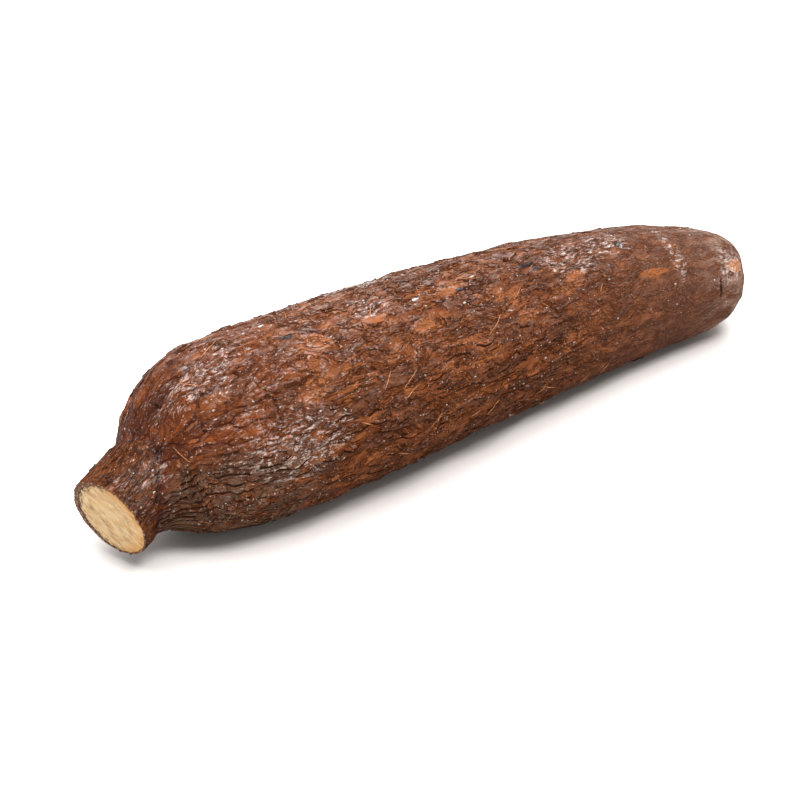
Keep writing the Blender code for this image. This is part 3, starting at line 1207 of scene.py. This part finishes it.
class Litter:
    """Scatters bits over the skin and bends them to it."""

    def __init__(self, bark, skin, seed):
        self.bark = bark
        self.skin = skin
        self.normals = outward(skin)
        self.draw = np.random.default_rng(seed)

    def read(self, field, ring, column):
        """A field of the skin at places between its points."""
        rings, columns = self.skin.shape[:2]
        ring = np.clip(ring, 0, rings - 1.001)
        low = ring.astype(int)
        left = np.floor(column).astype(int)
        down, right = ring - low, column - left
        total = 0.0
        for step, turn in itertools.product((0, 1), repeat=2):
            weight = np.where(step, down, 1 - down) * np.where(turn, right, 1 - right)
            values = field[low + step, (left + turn) % columns]
            total = total + (weight[..., None] if values.ndim > weight.ndim else weight) * values
        return total

    def spots(self, count, density):
        """Random places, kept where a draw falls under the density."""
        rings, columns = self.skin.shape[:2]
        tries = 60 * count
        ring = self.draw.uniform(4, rings - 12, tries)
        column = self.draw.uniform(0, columns, tries)
        chance = density * self.bark.radius / self.bark.radius.max()
        kept = self.draw.uniform(0, 1, tries) < chance[ring.astype(int), column.astype(int)]
        return ring[kept][:count], column[kept][:count]

    def place_of(self, along, degrees):
        """Ring and column of a place, given from the sawn face and in degrees round from the top."""
        columns = self.skin.shape[1]
        return along / self.bark.step, (degrees / 360 - 0.5) % 1 * columns

    def lay(self, ring, column, along, across, height):
        """Points a distance along, across and above each place, and their rings and columns."""
        arc = self.read(np.broadcast_to(self.bark.arc, self.skin.shape[:2]), ring, column)
        extra = (slice(None),) + (None,) * (along.ndim - 1)
        rings = ring[extra] + along / self.bark.step
        columns = column[extra] + across / arc[extra]
        points = self.read(self.skin, rings, columns)
        points = points + self.read(self.normals, rings, columns) * height[..., None]
        points[..., 2] = np.maximum(points[..., 2], 0.02)
        return points, rings, columns

    def between(self, low, high, count):
        """One draw for each bit."""
        return self.draw.uniform(low, high, count)[:, None, None]


def turned(length, side, lean):
    """A length and a side turned in the skin: how far along and how far across."""
    return length * np.cos(lean) - side * np.sin(lean), length * np.sin(lean) + side * np.cos(lean)


FLAKE_RINGS = 7


def make_flakes(litter, finish, count):
    """Torn flakes: thin slips that lie along the grain and lift on one side."""
    bark = litter.bark
    rugged = bark.shoulder * ease(0.15, 0.6, bark.flank)
    rugged = rugged * (1 - 0.85 * bark.near_fold) * (1 - 0.7 * bark.belly)
    rim = bump(2.0, 4.0, bark.along) * bump(math.radians(45), math.radians(38), bark.turns % math.tau)
    density = np.clip(0.08 + 0.65 * rugged + 0.1 * bark.neck + 0.9 * rim, 0, 1)
    density = density * (1 - 0.7 * bark.tail) * (1 - 0.9 * bark.peeled)
    ring, column = litter.spots(count, density)
    count = len(ring)
    run, around = tube_grid(FLAKE_RINGS, 6)
    long = litter.between(0.8, 3.0, count)
    wide = litter.between(0.25, 0.85, count)
    lean = litter.between(-0.45, 0.45, count)
    lift = litter.between(-0.5, 0.6, count)
    bend = litter.between(-0.5, 0.5, count)
    ragged = 1 + litter.draw.uniform(-0.28, 0.28, (count, FLAKE_RINGS, 1))
    taper = np.sqrt(np.clip(1.02 - run**2, 0.02, 1)) * ragged
    side = np.cos(around) * taper * wide + bend * wide * run**2
    along, across = turned(long * run + 0 * side, side, lean)
    thick = 0.11 * np.sin(around) * taper
    raised = np.abs(lift) * (0.5 + 0.5 * np.cos(around) * np.sign(lift)) ** 1.5 * (0.6 + 0.4 * np.abs(run))
    points, rings, columns = litter.lay(ring, column, along, across, thick + raised + 0.04)
    mesh = tubes_mesh("bark_flakes", points)
    own = litter.between(0, 1, count) + 0 * raised
    stored = {key: litter.read(getattr(bark, key), rings, columns) for key in BARK_NUMBERS + BARK_VECTORS}
    stored["level"] = stored["level"] * 0.5 + own
    stored["edge"] = (1 - np.abs(np.cos(around))) * wide * taper + 0.05
    stored["tone"] = own
    same = {"crack": 0.0, "crest": 0.4, "plate_in": 2.0, "chip_in": 2.0, "ledge_share": 0.0}
    stored.update({key: value + 0 * own for key, value in same.items()})
    store_tubes(mesh, stored)
    add_piece("bark_flakes", mesh, finish)


def store_tubes(mesh, stored):
    """Stores values given by tube, ring and column, and their means at the tips."""
    for key, values in stored.items():
        count = len(values)
        tips = values[:, [0, -1]].mean(axis=2)
        if values.ndim == 4:
            flat = np.concatenate([values.reshape(count, -1, 3), tips], axis=1).reshape(-1, 3)
        else:
            flat = np.concatenate([values.reshape(count, -1), tips], axis=1).reshape(-1)
        store(mesh, key, flat)


def make_crumbs(litter, finish, count):
    """Crumbs of dried wax stuck to the bark."""
    bark = litter.bark
    density = 0.16 + 0.35 * bark.powder + 0.2 * bark.shoulder - 0.15 * bark.near_fold - 0.06 * bark.neck
    ring, column = litter.spots(count, np.clip(density, 0, 1) * (1 - 0.4 * bark.tail))
    big_ring, big_column = litter.place_of(*np.array(WAX_LUMPS, float)[:, :2].T)
    ring = np.concatenate([ring, big_ring])
    column = np.concatenate([column, big_column])
    sizes = 0.13 + 0.26 * litter.draw.uniform(0, 1, len(ring)) ** 2.5
    sizes[-len(WAX_LUMPS):] = [lump[2] for lump in WAX_LUMPS]
    count = len(ring)
    size = sizes[:, None, None]
    rings, columns = 5, 6
    run, around = tube_grid(rings, columns)
    run = math.pi * (0.5 + 0.38 * run)
    lumpy = 1 + litter.draw.uniform(-0.3, 0.3, (count, rings, columns))
    long = litter.between(0.9, 1.9, count)
    along = -np.cos(run) * size * long * lumpy
    across = np.sin(run) * np.cos(around) * size * lumpy
    height = np.sin(run) * np.sin(around) * size * 0.5 * lumpy + 0.12 * size
    points = litter.lay(ring, column, along, across, height)[0]
    mesh = tubes_mesh("wax_crumbs", points)
    mesh.shade_smooth()
    store_tubes(mesh, {"grain": points})
    add_piece("wax_crumbs", mesh, finish)


def make_fibres(litter, finish, count):
    """Hair-thin fibres lying across the bark."""
    bark = litter.bark
    density = 0.4 * (1 - bark.tail) * (1 - bark.fold) * (1 - 0.7 * bark.neck) * (1 - 0.5 * bark.shoulder)
    ring, column = litter.spots(count, density)
    count = len(ring)
    run, around = tube_grid(12, 4)
    half = litter.between(1.8, 5.5, count)
    lean = litter.between(-1.3, 1.3, count)
    bow = litter.between(-0.12, 0.12, count)
    thick = litter.between(0.08, 0.13, count) * (1 - 0.6 * run**2)
    side = bow * half * run**2 + thick * np.cos(around)
    along, across = turned(half * run, side, lean)
    height = thick * np.sin(around) + 0.12 + litter.between(0.0, 0.4, count) * run**4
    points = litter.lay(ring, column, along, across, height)[0]
    mesh = tubes_mesh("loose_fibres", points)
    mesh.shade_smooth()
    store_tubes(mesh, {"grain": points})
    add_piece("loose_fibres", mesh, finish)


def wax_finish():
    f = Finish("dried_wax", Specular_IOR_Level=0.4)
    cloudy = f.cloud(f.stored_vector("grain"), 1.4, 3.0, 0.6)
    colour = f.ramp(cloudy, [(0.34, WAX_SHADE), (0.56, WAX_PALE)])
    return f.finish_with(colour, f.between(cloudy, 0.3, 0.7, 0.45, 0.65), cloudy, 0.5, 0.0003)


def fibre_finish():
    f = Finish("loose_fibre", Specular_IOR_Level=0.2)
    cloudy = f.cloud(f.stored_vector("grain"), 0.9, 3.0, 0.6)
    colour = f.ramp(cloudy, [(0.26, INNER_BROWN), (0.44, FIBRE_TAN)])
    return f.finish_with(colour, f.between(cloudy, 0.3, 0.7, 0.6, 0.8), cloudy, 0.4, 0.0002)


# Larger lumps of wax: mm from the sawn face, degrees round from the top, size
WAX_LUMPS = [
    (137, 15, 0.75),
    (79, 352, 0.7),
    (154, 30, 0.5),
    (166, 12, 0.6),
    (230, 20, 0.55),
    (108, 318, 0.8),
    (190, 280, 0.7),
]

litter = Litter(bark, skin, 5)
make_flakes(litter, bark_material, FLAKES)
make_crumbs(litter, wax_finish(), CRUMBS)
make_fibres(litter, fibre_finish(), FIBRES)


# ---------------------------------------------------------------------------------------------
# Floor, light and camera


FLOOR_WHITE = rgb(0.58, 0.55, 0.53)
FLOOR_HALF = 4.0  # metres, as all lengths below
ROOM_LIGHT = 0.68
CEILING_SPREAD = math.radians(62.0)
CEILING_LIGHT = 5.3
# Softboxes: place, width and height, power
KEY_SOFTBOX = ((-0.05, -0.55, 1.0), (0.36, 0.36), 11)
BACK_SOFTBOX = ((0.25, 1.0, 0.75), (1.6, 1.0), 18)
LIGHT_AIM = (0.0, 0.0, 0.02)
CAMERA_SWING = math.radians(-35.0)
CAMERA_LIFT = math.radians(31.0)
CAMERA_DISTANCE = 0.95
CAMERA_AIM = (0.001, 0.028)  # from the middle of the root


def aim(thing, place, target):
    """Puts a light or a camera at a place and turns it to a target."""
    thing.location = place
    thing.rotation_euler = (Vector(target) - Vector(place)).to_track_quat("-Z", "Y").to_euler()


def make_floor():
    half = FLOOR_HALF
    corners = [(-half, -half, 0), (half, -half, 0), (half, half, 0), (-half, half, 0)]
    mesh = bpy.data.meshes.new("floor")
    mesh.from_pydata(corners, [], [(0, 1, 2, 3)])
    mesh.materials.append(floor_finish())
    place_in_scene("floor", mesh)


def floor_finish():
    f = Finish("pale_floor", Roughness=0.9, Base_Color=FLOOR_WHITE)
    return f.material


def make_room():
    """The white room's own light."""
    world = bpy.data.worlds.new("white_room")
    world.use_nodes = True
    background = world.node_tree.nodes["Background"]
    background.inputs["Color"].default_value = rgb(1, 1, 1)
    background.inputs["Strength"].default_value = ROOM_LIGHT
    bpy.context.scene.world = world
    bpy.context.scene.view_settings.view_transform = "Standard"


def make_ceiling():
    """A broad light from straight above that reaches the whole floor evenly."""
    light = bpy.data.lights.new("overhead_light", "SUN")
    light.angle = CEILING_SPREAD
    light.energy = CEILING_LIGHT
    place_in_scene("overhead_light", light)


def make_softbox(name, place, size, power):
    light = bpy.data.lights.new(name, "AREA")
    light.shape = "RECTANGLE"
    light.size, light.size_y = size
    light.energy = power
    aim(place_in_scene(name, light), place, LIGHT_AIM)


def make_camera():
    """A long lens, looking down along the root from its neck end."""
    low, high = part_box(NODE)
    middle = (low + high) / 2
    target = Vector((middle.x + CAMERA_AIM[0], middle.y + CAMERA_AIM[1], 0.0))
    flat = math.cos(CAMERA_LIFT)
    back = Vector((math.sin(CAMERA_SWING) * flat, -math.cos(CAMERA_SWING) * flat, math.sin(CAMERA_LIFT)))
    lens = bpy.data.cameras.new("camera")
    lens.lens = 108.0
    lens.sensor_width = 36.0
    lens.clip_start = 0.01
    camera = place_in_scene("camera", lens)
    aim(camera, target + back * CAMERA_DISTANCE, target)
    bpy.context.scene.camera = camera


make_floor()
make_room()
make_ceiling()
make_softbox("key_softbox", *KEY_SOFTBOX)
make_softbox("back_softbox", *BACK_SOFTBOX)
make_camera()
